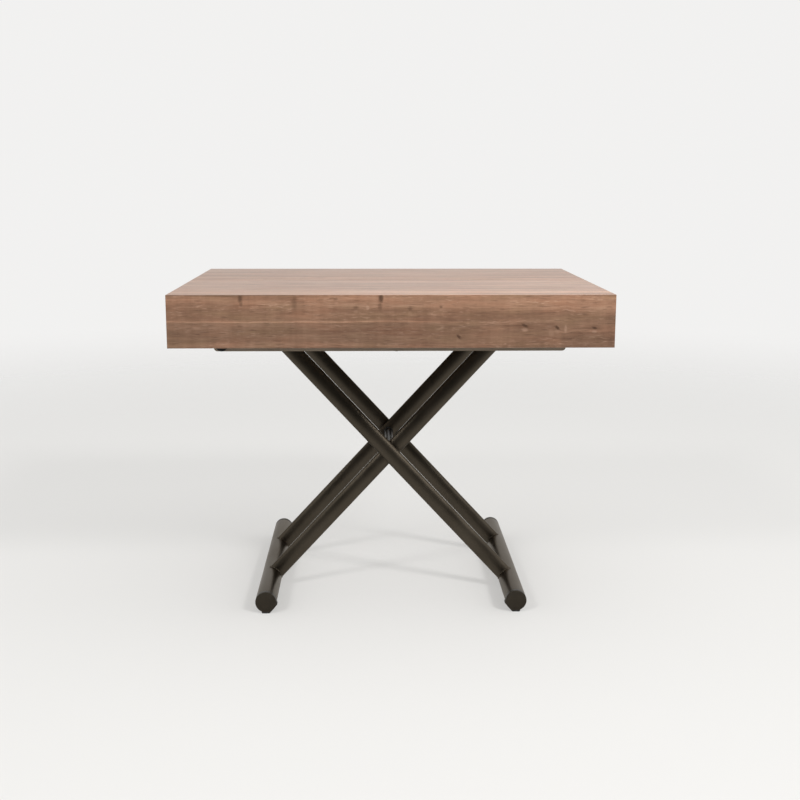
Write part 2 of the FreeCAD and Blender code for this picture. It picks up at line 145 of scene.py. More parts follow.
# sockets 6 and 7 of a Mix node, and its third result, are its colours
def mixColour(tree, amount, first, second, blend="MIX"):
    inputs = {0: amount, 6: first, 7: second}
    return addNode(tree, "ShaderNodeMix", inputs, data_type="RGBA", blend_type=blend).outputs[2]


def newGroup(name, inputs, outputs):
    tree = bpy.data.node_groups.new(name, "ShaderNodeTree")
    for label, kind in inputs.items():
        tree.interface.new_socket(label, in_out="INPUT", socket_type="NodeSocket" + kind)
    for label, kind in outputs.items():
        tree.interface.new_socket(label, in_out="OUTPUT", socket_type="NodeSocket" + kind)
    return tree, tree.nodes.new("NodeGroupInput").outputs, tree.nodes.new("NodeGroupOutput").inputs


def placeGroup(tree, group, inputs):
    return addNode(tree, "ShaderNodeGroup", inputs, node_tree=group).outputs


def newMaterial(name):
    material = bpy.data.materials.new(name)
    material.use_nodes = True
    tree = material.node_tree
    return material, tree, tree.nodes["Principled BSDF"]


def bumped(tree, height, distance):
    return addNode(tree, "ShaderNodeBump", {"Height": height, "Distance": distance}).outputs[0]


# grain coordinates: X runs along the grain and Y across it, both in metres; the lines waver a little.
# A waver is its scale per metre along and across the grain, and its swing in metres
grainWavers = {"slow": (2.2, 7.0, 0.016), "quick": (14.0, 40.0, 0.0022)}


def makeGrainWaver():
    tree, given, result = newGroup("grainWaver", {"Vector": "Vector"}, {"Vector": "Vector"})
    shift = 0.0
    for along, across, swing in grainWavers.values():
        waver = grainNoise(tree, given["Vector"], along, across)
        shift = calc(tree, "ADD", shift, calc(tree, "MULTIPLY_ADD", waver, swing, -swing / 2))
    feed(tree, result, {"Vector": vectorCalc(tree, "ADD", given["Vector"], makeVector(tree, y=shift))})
    return tree


# a knot: a ragged dark core, which may lean. An eye also has a shaded oval round it, a dark tail to the
# left, a pale patch below, and grain lines that bend round it. Ovals and edges are in lengths and widths
# of the knot; an edge is where a mark starts and where it is full. Ragged, shade, tail, pale and bend
# are strengths
knotLook = {
    "ragged": 1.1, "raggedNoise": (420.0, 3.0, 0.7),
    "coreEdge": (1.15, 0.25),
    "shade": 0.34, "shadeOval": (3.0, 2.4), "shadeEdge": (1.0, 0.4), "shadeRagged": 0.4,
    "tail": 0.75, "tailNarrow": 5.0, "tailEdge": (-8.0, -0.6), "tailEnd": (0.6, -0.4),
    "pale": 0.6, "paleOval": (0.9, 1.3, 1.9), "paleEdge": (1.0, 0.3),
    "bend": 0.55, "bendNarrow": 0.16,
}


def makeOakKnot():
    sockets = {"Vector": "Vector", "Centre": "Vector", "Length": "Float", "Width": "Float", "Depth": "Float"}
    sockets.update({"Eye": "Float", "Lean": "Float"})
    tree, given, result = newGroup("oakKnot", sockets, {"Dark": "Float", "Pale": "Float", "Bend": "Float"})
    look = knotLook
    away = vectorCalc(tree, "SUBTRACT", given["Vector"], given["Centre"])
    swung = {"Vector": away, "Angle": given["Lean"]}
    leaning = addNode(tree, "ShaderNodeVectorRotate", swung, rotation_type="Z_AXIS").outputs[0]
    straight, leaning = splitVector(tree, away), splitVector(tree, leaning)
    along = calc(tree, "DIVIDE", straight[0], given["Length"])
    across = calc(tree, "DIVIDE", straight[1], given["Width"])
    leanAlong = calc(tree, "DIVIDE", leaning[0], given["Length"])
    leanAcross = calc(tree, "DIVIDE", leaning[1], given["Width"])
    ragged = noise(tree, given["Vector"], *look["raggedNoise"])
    ragged = calc(tree, "MULTIPLY_ADD", ragged, look["ragged"], -look["ragged"] / 2)

    def distance(x, y):
        return calc(tree, "SQRT", calc(tree, "MULTIPLY_ADD", x, x, times(tree, y, y)))

    def oval(length, width, drop=0.0):
        y = calc(tree, "DIVIDE", calc(tree, "ADD", across, drop), width)
        return distance(calc(tree, "DIVIDE", along, length), y)

    def bell(value, narrow):
        return calc(tree, "EXPONENT", times(tree, times(tree, value, value), -narrow))

    core = calc(tree, "ADD", distance(leanAlong, leanAcross), ragged)
    core = remap(tree, core, *look["coreEdge"], smooth=True)
    shade = calc(tree, "MULTIPLY_ADD", ragged, look["shadeRagged"], oval(*look["shadeOval"]))
    shade = remap(tree, shade, *look["shadeEdge"], 0.0, look["shade"], smooth=True)
    tail = remap(tree, along, *look["tailEdge"], 0.0, look["tail"], smooth=True)
    tail = times(tree, bell(across, look["tailNarrow"]), tail)
    tail = times(tree, tail, remap(tree, along, *look["tailEnd"], smooth=True))
    around = times(tree, calc(tree, "MAXIMUM", shade, tail), given["Eye"])
    dark = times(tree, calc(tree, "MAXIMUM", core, around), given["Depth"])
    pale = remap(tree, oval(*look["paleOval"]), *look["paleEdge"], 0.0, look["pale"], smooth=True)
    pale = times(tree, times(tree, pale, given["Eye"]), calc(tree, "SUBTRACT", 1.0, core))
    bend = times(tree, straight[1], bell(oval(1.0, 1.0), look["bendNarrow"]))
    bend = times(tree, times(tree, bend, -look["bend"]), given["Eye"])
    feed(tree, result, {"Dark": dark, "Pale": pale, "Bend": bend})
    return tree


# rustic oak figure: slow bands, streaks, pores, pale flecks, dark dashes, faint saw marks across the
# grain and a slow drift of hue between reddish and olive brown. A layer is its scale per metre along and
# across the grain, and may add detail and roughness; grain, marks and relief give the layers' strengths.
# An edge is where a mark starts, where it is full, and what it goes from and to
oakLook = {
    "layers": {
        "bands": (1.6, 44.0, 4.0, 0.60),
        "streaks": (7.0, 210.0, 6.0, 0.62),
        "pores": (42.0, 1200.0),
        "sawMarks": (95.0, 9.0, 3.0, 0.6),
        "patches": (21.0, 14.0, 3.0, 0.6),
        "hue": (9.0, 34.0, 3.0),
        "flecks": (60.0, 380.0),
        "clusters": (8.0, 40.0),
        "dashes": (34.0, 460.0, 1.0),
    },
    "grain": {"bands": 0.85, "streaks": 0.55, "pores": 0.25},
    "marks": {"sawMarks": 0.22, "patches": 0.34},
    "middle": 0.5,
    "relief": {"pores": 0.6, "streaks": 0.5},
    "knotRelief": -0.5,
    "browns": [
        (0.16, (0.132, 0.066, 0.038)),
        (0.40, (0.204, 0.108, 0.064)),
        (0.58, (0.264, 0.146, 0.089)),
        (0.84, (0.356, 0.212, 0.138)),
    ],
    "hues": [(0.34, (1.03, 0.97, 0.95)), (0.50, (1.0, 1.0, 1.0)), (0.66, (0.97, 1.01, 0.97))],
    "fleckBrown": (0.43, 0.27, 0.185, 1.0),
    "dashBrown": (0.092, 0.045, 0.026, 1.0),
    "knotBrown": (0.075, 0.036, 0.019, 1.0),
    "fleckEdge": (0.55, 0.68),
    "clusterEdge": (0.45, 0.65, 0.10, 0.55),
    "dashEdge": (0.39, 0.27, 0.0, 0.6),
    "poreEdge": (0.40, 0.26, 0.0, 0.5),
    "rough": (0.3, 0.7, 0.40, 0.30),
}


def makeOakFigure():
    sockets = {"Vector": "Vector", "Contrast": "Float", "Marks": "Float", "Tint": "Color", "Tone": "Float"}
    sockets.update({"Dark": "Float", "Pale": "Float"})
    results = {"Color": "Color", "Roughness": "Float", "Height": "Float"}
    tree, given, result = newGroup("oakFigure", sockets, results)
    look = oakLook
    layers = {name: grainNoise(tree, given["Vector"], *spec) for name, spec in look["layers"].items()}

    def added(strengths, total):
        for name, strength in strengths.items():
            total = calc(tree, "MULTIPLY_ADD", layers[name], strength, total)
        return total

    def centred(strengths):
        return added(strengths, -sum(strengths.values()) / 2)

    marks = calc(tree, "MULTIPLY_ADD", centred(look["marks"]), given["Marks"], look["middle"])
    value = calc(tree, "MULTIPLY_ADD", centred(look["grain"]), given["Contrast"], marks)
    colour = ramp(tree, value, look["browns"])
    colour = mixColour(tree, 1.0, colour, ramp(tree, layers["hue"], look["hues"]), "MULTIPLY")
    clusters = remap(tree, layers["clusters"], *look["clusterEdge"])
    light = times(tree, remap(tree, layers["flecks"], *look["fleckEdge"]), clusters)
    colour = mixColour(tree, calc(tree, "MAXIMUM", light, given["Pale"]), colour, look["fleckBrown"])
    deep = remap(tree, layers["dashes"], *look["dashEdge"])
    deep = calc(tree, "MAXIMUM", deep, remap(tree, layers["pores"], *look["poreEdge"]))
    colour = mixColour(tree, deep, colour, look["dashBrown"])
    for tint in (makeVector(tree, *[given["Tone"]] * 3), given["Tint"]):
        colour = mixColour(tree, 1.0, colour, tint, "MULTIPLY")
    colour = mixColour(tree, given["Dark"], colour, look["knotBrown"])
    rough = remap(tree, layers["streaks"], *look["rough"])
    height = calc(tree, "MULTIPLY_ADD", given["Dark"], look["knotRelief"], added(look["relief"], 0.0))
    feed(tree, result, {"Color": colour, "Roughness": rough, "Height": height})
    return tree


# fine texture of a sprayed or moulded surface: bumps and a slow change of shade
def makeFineTexture():
    sockets = {"Vector": "Vector", "Grain": "Float", "Clouds": "Float"}
    tree, given, result = newGroup("fineTexture", sockets, {"Height": "Float", "Shade": "Float"})
    height = noise(tree, given["Vector"], given["Grain"], detail=3.0, roughness=0.6)
    shade = noise(tree, given["Vector"], given["Clouds"], detail=4.0, roughness=0.55)
    feed(tree, result, {"Height": height, "Shade": shade})
    return tree


grainWaver = makeGrainWaver()
oakKnot = makeOakKnot()
oakFigure = makeOakFigure()
fineTexture = makeFineTexture()
print("node groups made")


# oak decor. Axes are the directions along, across and out of the grain. Contrast is that of the grain,
# marks the strength of saw marks and patches, gloss the specular level and relief the bump in metres.
# Tones are pairs of a place across the grain, in metres, and a brightness; far tones take over from them
# along the grain, between farFrom and farTo. Knots give the place along and across the grain, the length
# and width of the mark, its depth, 1 for an eye or a share of one, and the angle that it leans by, in
# degrees. Planks are stretches with their own brightness: from and to along the grain, then across it
oakDefaults = {
    "contrast": 1.0, "marks": 0.7, "tint": (1.0, 1.0, 1.0), "gloss": 0.5, "relief": 0.00025,
    "farTones": None, "farFrom": -0.06, "farTo": 0.32,
}
oakFaces = {
    # the top is the same oak decor as the other faces, but its higher tones and bluish tint paint it lighter
    # and paler: painted light from above, and a painted reflection of the pale backdrop seen at a grazing
    # angle
    "top": {
        "axes": ((1, 0, 0), (0, 1, 0), (0, 0, 1)),
        "contrast": 1.45,
        "marks": 0.3,
        "tint": (1.05, 1.08, 1.13),
        "gloss": 0.64,
        "tones": [
            (-0.380, 1.36), (-0.352, 1.49), (-0.325, 1.66), (-0.296, 1.49), (-0.268, 1.28),
            (-0.150, 1.19), (-0.100, 1.19), (-0.066, 1.36), (-0.036, 1.49), (-0.008, 1.38),
            (0.020, 1.23), (0.110, 1.22), (0.130, 1.11), (0.165, 1.11), (0.180, 1.23),
            (0.260, 1.23), (0.285, 1.14), (0.380, 1.11),
        ],
        # far tones: the same pattern, about a tenth brighter towards the right: painted light, which falls
        # stronger from the right
        "farTones": [
            (-0.380, 1.46), (-0.352, 1.58), (-0.325, 1.76), (-0.296, 1.60), (-0.268, 1.40),
            (-0.150, 1.31), (-0.100, 1.34), (-0.066, 1.52), (-0.036, 1.64), (-0.008, 1.50),
            (0.020, 1.33), (0.110, 1.32), (0.130, 1.20), (0.165, 1.20), (0.180, 1.31),
            (0.260, 1.30), (0.285, 1.20), (0.380, 1.15),
        ],
        "knots": [
            (-0.043, -0.243, 0.050, 0.006, 0.9, 0), (-0.050, 0.160, 0.055, 0.007, 0.9, 0),
            (-0.330, -0.120, 0.028, 0.005, 0.8, 0), (0.120, -0.040, 0.036, 0.005, 0.7, 0),
            (-0.180, 0.080, 0.030, 0.005, 0.7, 0), (0.330, -0.300, 0.030, 0.004, 0.7, 0),
            (0.270, 0.060, 0.009, 0.006, 0.8, 1), (-0.330, 0.250, 0.010, 0.006, 0.8, 1),
            (0.150, -0.150, 0.008, 0.005, 0.8, 1), (-0.220, -0.090, 0.008, 0.005, 0.7, 1),
        ],
        "planks": [(-0.52, -0.21, 0.060, 0.176, 0.94), (0.16, 0.52, -0.268, -0.150, 0.97)],
    },
    "front": {
        "axes": ((1, 0, 0), (0, 0, 1), (0, -1, 0)),
        "marks": 1.0,
        "tones": [
            (0.649, 0.74), (0.656, 0.86), (0.664, 0.70), (0.690, 0.69), (0.7032, 0.71), (0.7056, 0.86),
            (0.7070, 1.24), (0.7084, 1.02), (0.7102, 0.91), (0.735, 0.95), (0.750, 1.05), (0.759, 1.14),
            (0.7655, 1.10), (0.768, 0.80),
        ],
        # far tones: brighter towards the right, partly painted light, which falls stronger from the right,
        # and partly the decor's own change along the grain
        "farTones": [
            (0.649, 0.78), (0.657, 0.93), (0.676, 0.89), (0.694, 0.88), (0.702, 0.80), (0.712, 0.90),
            (0.728, 1.03), (0.742, 1.17), (0.760, 1.25), (0.7655, 1.18), (0.768, 0.85),
        ],
        "knots": [
            (-0.3356, 0.7600, 0.0066, 0.0130, 0.72, 0), (-0.3340, 0.7480, 0.0046, 0.0075, 0.50, 0),
            (-0.0243, 0.7610, 0.0068, 0.0140, 0.88, 0), (-0.0262, 0.7420, 0.0064, 0.0115, 0.48, 0),
            (0.0400, 0.7366, 0.0068, 0.0048, 0.60, 0.2), (0.1089, 0.7409, 0.0050, 0.0036, 0.65, 0.3),
            (0.1490, 0.6745, 0.0086, 0.0046, 1.00, 0.2, 42), (0.2965, 0.6990, 0.0120, 0.0048, 1.00, 0.9, 24),
            (0.3690, 0.6945, 0.0090, 0.0050, 1.00, 0.4, 36), (0.4530, 0.6935, 0.0090, 0.0044, 1.00, 0.8, 14),
            (0.3880, 0.7110, 0.0050, 0.0100, 0.00, 0.8),
            (0.3560, 0.6990, 0.0120, 0.0090, 0.30, 0.3),
            (-0.0850, 0.7540, 0.0220, 0.0060, 0.28, 0), (-0.2165, 0.7500, 0.0072, 0.0220, 0.40, 0),
            (-0.0800, 0.7400, 0.0080, 0.0046, 0.55, 0.3), (-0.1240, 0.7585, 0.0070, 0.0044, 0.42, 0.3),
            (-0.0540, 0.7490, 0.0060, 0.0050, 0.20, 0.9),
        ],
        "planks": [(0.379, 0.52, 0.640, 0.686, 0.87)],
    },
    "rear": {
        "axes": ((-1, 0, 0), (0, 0, 1), (0, 1, 0)),
        "tones": [
            (0.651, 0.92), (0.668, 0.84), (0.684, 0.86), (0.6862, 1.06), (0.689, 0.94), (0.730, 1.02),
            (0.733, 1.16), (0.736, 0.92), (0.764, 1.02), (0.768, 0.84),
        ],
        "knots": [
            (-0.310, 0.7150, 0.0060, 0.0036, 0.9, 1), (-0.070, 0.6730, 0.0046, 0.0034, 0.9, 1),
            (0.240, 0.7540, 0.0042, 0.0110, 0.7, 0), (0.420, 0.7000, 0.0050, 0.0032, 0.9, 1),
        ],
        "planks": [(-0.52, -0.17, 0.6862, 0.732, 0.88), (0.29, 0.52, 0.640, 0.6862, 1.10)],
    },
    "sides": {
        "axes": ((0, 1, 0), (0, 0, 1), (1, 0, 0)),
        "tones": [
            (0.651, 0.88), (0.690, 0.92), (0.6925, 1.08), (0.695, 0.88), (0.740, 1.00), (0.764, 1.06),
            (0.768, 0.84),
        ],
        "knots": [
            (-0.240, 0.7330, 0.0050, 0.0032, 0.9, 1), (0.060, 0.6700, 0.0054, 0.0036, 0.9, 1),
            (0.290, 0.7500, 0.0042, 0.0110, 0.7, 0),
        ],
        "planks": [(0.11, 0.40, 0.6925, 0.780, 0.90)],
    },
}
plankEdge = 0.0012
toneTop = 2.0  # tones stand in a ramp as shares of this brightness


def toneAcross(tree, across, tones):
    low, high = tones[0][0], tones[-1][0]
    stops = [((place - low) / (high - low), (tone / toneTop,) * 3) for place, tone in tones]
    return times(tree, ramp(tree, remap(tree, across, low, high), stops), toneTop)


def between(tree, value, low, high):
    rise = remap(tree, value, low - plankEdge, low + plankEdge)
    return times(tree, rise, remap(tree, value, high + plankEdge, high - plankEdge))


def oakDecor(name, face):
    spec = {**oakDefaults, **face}
    material, tree, shader = newMaterial(name)
    place = addNode(tree, "ShaderNodeTexCoord").outputs["Object"]
    turn = Matrix(spec["axes"]).to_euler()
    grain = addNode(tree, "ShaderNodeMapping", {"Vector": place, "Rotation": turn}).outputs[0]
    flat = makeVector(tree, *splitVector(tree, grain)[:2])
    dark, pale, bend = 0.0, 0.0, 0.0
    for along, across, length, width, depth, eye, *lean in spec["knots"]:
        sockets = {"Vector": flat, "Centre": (along, across, 0), "Length": length, "Width": width}
        sockets.update({"Depth": depth, "Eye": eye, "Lean": math.radians(lean[0]) if lean else 0.0})
        knot = placeGroup(tree, oakKnot, sockets)
        dark = calc(tree, "MAXIMUM", knot["Dark"], dark)
        pale = calc(tree, "MAXIMUM", knot["Pale"], pale)
        bend = calc(tree, "ADD", knot["Bend"], bend)
    bent = vectorCalc(tree, "ADD", grain, makeVector(tree, y=bend))
    wavered = placeGroup(tree, grainWaver, {"Vector": bent})["Vector"]
    along, across = splitVector(tree, wavered)[:2]
    tone = toneAcross(tree, across, spec["tones"])
    if spec["farTones"]:
        far = remap(tree, along, spec["farFrom"], spec["farTo"], smooth=True)
        gap = calc(tree, "SUBTRACT", toneAcross(tree, across, spec["farTones"]), tone)
        tone = calc(tree, "MULTIPLY_ADD", gap, far, tone)
    for alongFrom, alongTo, acrossFrom, acrossTo, brightness in spec["planks"]:
        inside = between(tree, along, alongFrom, alongTo)
        inside = times(tree, inside, between(tree, across, acrossFrom, acrossTo))
        tone = times(tree, tone, calc(tree, "MULTIPLY_ADD", inside, brightness - 1, 1.0))
    shades = {"Contrast": spec["contrast"], "Marks": spec["marks"], "Tint": (*spec["tint"], 1.0)}
    shades.update({"Tone": tone, "Dark": dark, "Pale": pale})
    figure = placeGroup(tree, oakFigure, {"Vector": wavered, **shades})
    feed(tree, shader.inputs, {
        "Base Color": figure["Color"],
        "Roughness": figure["Roughness"],
        "Normal": bumped(tree, figure["Height"], spec["relief"]),
        "Specular IOR Level": spec["gloss"],
    })
    return material


oak = {face: oakDecor("oakDecor" + face.capitalize(), spec) for face, spec in oakFaces.items()}
print("oak decor made")


# plain finishes: two shades, metallic where it is metal, roughness with its spread, the scales of the
# bump's grain and of the clouds of shade (per metre), the bump's depth (metres), specular level, sheen,
# which tints the reflections, and the stretch that turns the grain into drawn lines
finishes = {
    "bronze_coat": {
        "dark": (0.065, 0.054, 0.040), "light": (0.084, 0.070, 0.053), "metallic": 1.0, "rough": (0.34, 0.44),
        "grain": 1500.0, "clouds": 9.0, "depth": 0.000018, "sheen": (1.0, 0.97, 0.93),
    },
    # rails, bearers and centre strap: lighter than the bronze of the arms, partly their own lighter coat and
    # partly painted light from the bright floor below
    "railCoatPaintedLight": {
        "dark": (0.175, 0.138, 0.101), "light": (0.212, 0.169, 0.126), "rough": (0.36, 0.46),
        "grain": 1500.0, "clouds": 9.0, "depth": 0.00003, "specular": 0.30,
    },
    "darkSteel": {
        "dark": (0.055, 0.052, 0.047), "light": (0.090, 0.086, 0.080), "metallic": 1.0, "rough": (0.34, 0.46),
        "grain": 1100.0, "clouds": 120.0, "depth": 0.00003,
    },
    "cap_plastic": {
        "dark": (0.0110, 0.0084, 0.0052), "light": (0.0165, 0.0128, 0.0082), "rough": (0.40, 0.50),
        "grain": 2600.0, "clouds": 40.0, "depth": 0.00005, "specular": 0.31, "sheen": (1.0, 0.90, 0.76),
    },
    "black_plastic": {
        "dark": (0.010, 0.010, 0.010), "light": (0.018, 0.018, 0.017), "rough": (0.40, 0.52),
        "grain": 2800.0, "clouds": 60.0, "depth": 0.00004,
    },
    "slider_nylon": {
        "dark": (0.012, 0.012, 0.012), "light": (0.022, 0.022, 0.021), "rough": (0.42, 0.56),
        "grain": 1800.0, "clouds": 45.0, "depth": 0.00004,
    },
    "glide_rubber": {
        "dark": (0.012, 0.012, 0.011), "light": (0.024, 0.023, 0.022), "rough": (0.75, 0.9),
        "grain": 2200.0, "clouds": 60.0, "depth": 0.00008,
    },
    "slide_aluminium": {
        "dark": (0.48, 0.48, 0.485), "light": (0.62, 0.62, 0.615), "metallic": 1.0, "rough": (0.30, 0.42),
        "grain": 1400.0, "clouds": 300.0, "depth": 0.00003, "stretch": (1.0, 0.012, 1.0),
    },
    "zinc_steel": {
        "dark": (0.40, 0.40, 0.39), "light": (0.56, 0.56, 0.53), "metallic": 1.0, "rough": (0.28, 0.42),
        "grain": 1100.0, "clouds": 120.0, "depth": 0.00003,
    },
    "gas_paint": {
        "dark": (0.010, 0.010, 0.010), "light": (0.014, 0.014, 0.014), "rough": (0.18, 0.26),
        "grain": 700.0, "clouds": 20.0, "depth": 0.00002,
    },
    "gas_chrome": {
        "dark": (0.60, 0.60, 0.61), "light": (0.66, 0.66, 0.67), "metallic": 1.0, "rough": (0.08, 0.14),
        "grain": 900.0, "clouds": 60.0, "depth": 0.00001,
    },
    "tray_board": {
        "dark": (0.150, 0.096, 0.058), "light": (0.212, 0.140, 0.087), "rough": (0.62, 0.78),
        "grain": 900.0, "clouds": 170.0, "depth": 0.00010,
    },
    "beech": {
        "dark": (0.42, 0.27, 0.155), "light": (0.56, 0.38, 0.235), "rough": (0.50, 0.64),
        "grain": 1300.0, "clouds": 220.0, "depth": 0.00006,
    },
}


shadeSpan = (0.32, 0.68)  # the clouds' values that give the dark and the light shade
roughSpan = (0.3, 0.7)  # and the smooth and the rough end


def plainFinish(name, spec):
    material, tree, shader = newMaterial(name)
    place = addNode(tree, "ShaderNodeTexCoord").outputs["Object"]
    stretch = {"Vector": place, "Scale": spec.get("stretch", (1, 1, 1))}
    drawn = addNode(tree, "ShaderNodeMapping", stretch).outputs[0]
    sizes = {"Grain": spec["grain"], "Clouds": spec["clouds"]}
    texture = placeGroup(tree, fineTexture, {"Vector": drawn, **sizes})
    shades = list(zip(shadeSpan, (spec["dark"], spec["light"])))
    feed(tree, shader.inputs, {
        "Base Color": ramp(tree, texture["Shade"], shades),
        "Roughness": remap(tree, texture["Shade"], *roughSpan, *spec["rough"]),
        "Normal": bumped(tree, texture["Height"], spec["depth"]),
        "Metallic": spec.get("metallic", 0.0),
        "Specular IOR Level": spec.get("specular", 0.5),
        "Specular Tint": (*spec.get("sheen", (1, 1, 1)), 1.0),
    })
    return material


plain = {name: plainFinish(name, spec) for name, spec in finishes.items()}

oakOf = {
    "front_top_board": "top", "rear_top_board": "top", "front_apron": "front", "rear_apron": "rear",
    "front_leaf": "top", "rear_leaf": "top", "upper_leaf": "top",
    "front_left_apron": "sides", "front_right_apron": "sides",
    "rear_left_apron": "sides", "rear_right_apron": "sides",
}
slotOf = {part["node"]: part["material_slot"] for part in frame["record"]["subparts"]}
ownFinish = {
    "front_rail": "railCoatPaintedLight", "rear_rail": "railCoatPaintedLight", "left_bearer": "railCoatPaintedLight", "right_bearer": "railCoatPaintedLight",
    "centre_strap": "railCoatPaintedLight", "strap_screws": "darkSteel", "pivot_shaft": "darkSteel",
}


def finishOf(node):
    return oak[oakOf[node]] if node in oakOf else plain[ownFinish.get(node, slotOf[node])]


for node, thing in frame["nodes"].items():
    thing.data.materials.clear()
    thing.data.materials.append(finishOf(node))
print("finishes on", len(frame["nodes"]), "nodes")


# mesh helpers. Grid faces are the quads between closed rings of points
mergeWithin = 1e-7


def gridFaces(rows, columns):
    row = np.arange(rows - 1)[:, None] * columns
    here = np.arange(columns)[None, :]
    after = (here + 1) % columns
    return np.stack([row + here, row + after, row + columns + after, row + columns + here], -1).reshape(-1, 4)


def fullTurn(sides):
    return np.arange(sides) * 2 * math.pi / sides


def joined(parts):
    count, points, faces = 0, [], []
    for corners, quads in parts:
        points.append(np.asarray(corners).reshape(-1, 3))
        faces.append(np.asarray(quads) + count)
        count += len(points[-1])
    return np.concatenate(points), np.concatenate(faces)


def bodyOf(node):
    return next(name for name, nodes in frame["record"]["behaviour"]["bodies"].items() if node in nodes)


def middleOf(node):
    low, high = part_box(node)
    middle = np.array([(low.x + high.x) / 2, (low.y + high.y) / 2, (low.z + high.z) / 2])
    return middle, np.array(high - low) / 2


# a piece with smooth faces; edges sharper than the angle sharpest, in degrees, stay sharp
def addPiece(name, points, faces, body, slot, material, sharpest):
    mesh = bpy.data.meshes.new(name)
    mesh.from_pydata(np.asarray(points).reshape(-1, 3).tolist(), [], [list(map(int, face)) for face in faces])
    work = bmesh.new()
    work.from_mesh(mesh)
    bmesh.ops.remove_doubles(work, verts=work.verts, dist=mergeWithin)
    bmesh.ops.recalc_face_normals(work, faces=work.faces)
    work.to_mesh(mesh)
    work.free()
    mesh.shade_smooth()
    mesh.set_sharp_from_angle(angle=math.radians(sharpest))
    mesh.materials.append(material)
    thing = bpy.data.objects.new(name, mesh)
    bpy.context.scene.collection.objects.link(thing)
    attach(thing, body)
    return thing


def replaceNode(node, name, points, faces, sharpest):
    piece = addPiece(name, points, faces, bodyOf(node), slotOf[node], finishOf(node), sharpest)
    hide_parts(node)


# boards with eased edges: rings of the outline, from the outer face to the inner one. A mitred edge
# follows a quarter round to the mitre and then the mitre itself; a square edge is eased on both faces.
# Facing is the number of the axis that the outer face looks along, with its sign. Kinds are those of the
# low and the high edge on the first of the other two axes, and then on the second
easing = {"corner": 0.0012, "edge": 0.0008, "steps": 5, "decimals": 7, "sharp": 30.0}
dowelHole = {"radius": 0.0042, "length": 0.0126, "sides": 24}


def roundInset(depth, radius):
    return radius - np.sqrt(np.maximum(radius ** 2 - (radius - depth) ** 2, 0))


def easedInset(depth, thickness, kind):
    corner, edge = easing["corner"], easing["edge"]
    if kind == "mitre":
        return np.where(depth < corner * (1 - math.sqrt(0.5)), roundInset(depth, corner), depth)
    near = np.minimum(depth, thickness - depth)
    return np.where(near < edge, roundInset(near, edge), 0)


def easedDepths(thickness):
    mitre = easing["corner"] * (1 - np.cos(np.linspace(0, math.pi / 4, easing["steps"])))
    edge = easing["edge"] * (1 - np.cos(np.linspace(0, math.pi / 2, easing["steps"])))
    return np.unique(np.round(np.concatenate([mitre, edge, thickness - edge]), easing["decimals"]))


def easedBoard(node, facing, kinds, holes=()):
    low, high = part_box(node)
    out = abs(facing) - 1
    across = [axis for axis in range(3) if axis != out]
    thickness = high[out] - low[out]
    depth = easedDepths(thickness)
    inset = [easedInset(depth, thickness, kind) for kind in kinds]
    uLow, uHigh = low[across[0]] + inset[0], high[across[0]] - inset[1]
    vLow, vHigh = low[across[1]] + inset[2], high[across[1]] - inset[3]
    seamLow = kinds[2] == "square"
    half = thickness / 2 - easing["edge"]
    stations = np.array([centre + side * half for centre in holes for side in (-1, 1)])
    ones = np.ones(len(depth))
    lowStops = stations if seamLow else stations[:0]
    highStops = stations[:0] if seamLow else stations[::-1]
    u = np.stack([uLow, *(x * ones for x in lowStops), uHigh, uHigh, *(x * ones for x in highStops), uLow], 1)
    v = np.stack([vLow] * (2 + len(lowStops)) + [vHigh] * (2 + len(highStops)), 1)
    w = np.repeat(depth[:, None], u.shape[1], 1)
    points = np.zeros(u.shape + (3,))
    points[..., across[0]] = u
    points[..., across[1]] = v
    points[..., out] = high[out] - w if facing > 0 else low[out] + w
    rows, columns = u.shape
    faces, points = gridFaces(rows, columns), points.reshape(-1, 3)
    if holes:
        faces, points = drillHoles(faces, points, columns, holes, out, across, seamLow)
    caps = [np.arange(columns), np.arange(columns) + (rows - 1) * columns]
    replaceNode(node, node + "Eased", points, [*faces, *caps], easing["sharp"])


# dowel holes in a seam edge: the flat cell at each station becomes four corners round a circle. The flat
# of the edge is where the depth takes its largest step
def drillHoles(faces, points, columns, holes, out, across, seamLow):
    depth = (points[0, out] + points[-1, out]) / 2
    radius, sides = dowelHole["radius"], dowelHole["sides"]
    middle = int(np.argmax(np.abs(np.diff(points[::columns, out]))))
    inward = 1 if seamLow else -1
    angles = fullTurn(sides)
    extra, kept, rings = [], faces.tolist(), []
    for number, centre in enumerate(holes):
        first = 1 + 2 * number if seamLow else columns - 2 - 2 * number
        a, b = middle * columns + first, middle * columns + first + inward
        corners = [a, b, b + columns, a + columns]
        kept = [face for face in kept if set(face) != set(corners)]
        base = len(points) + len(rings)
        for push in (0.0, dowelHole["length"]):
            ring = np.zeros((sides, 3))
            ring[:, across[0]] = centre + radius * np.cos(angles)
            ring[:, out] = depth + radius * np.sin(angles)
            ring[:, across[1]] = points[a, across[1]] + inward * push
            rings.extend(ring)
        spots = points[corners]
        turn = np.arctan2(spots[:, out] - depth, spots[:, across[0]] - centre)
        start = np.round(turn / (2 * math.pi / sides)).astype(int) % sides
        for here in range(4):
            there = (here + 1) % 4
            span = (start[there] - start[here]) % sides
            step = 1
            if span > sides // 2:
                span, step = sides - span, -1
            arc = [base + (start[here] + step * k) % sides for k in range(span + 1)]
            extra.append([corners[here], *arc, corners[there]])
        extra.extend((gridFaces(2, sides) + base).tolist())
        extra.append([base + sides + k for k in range(sides)])
    return kept + extra, np.concatenate([points, np.array(rings)])


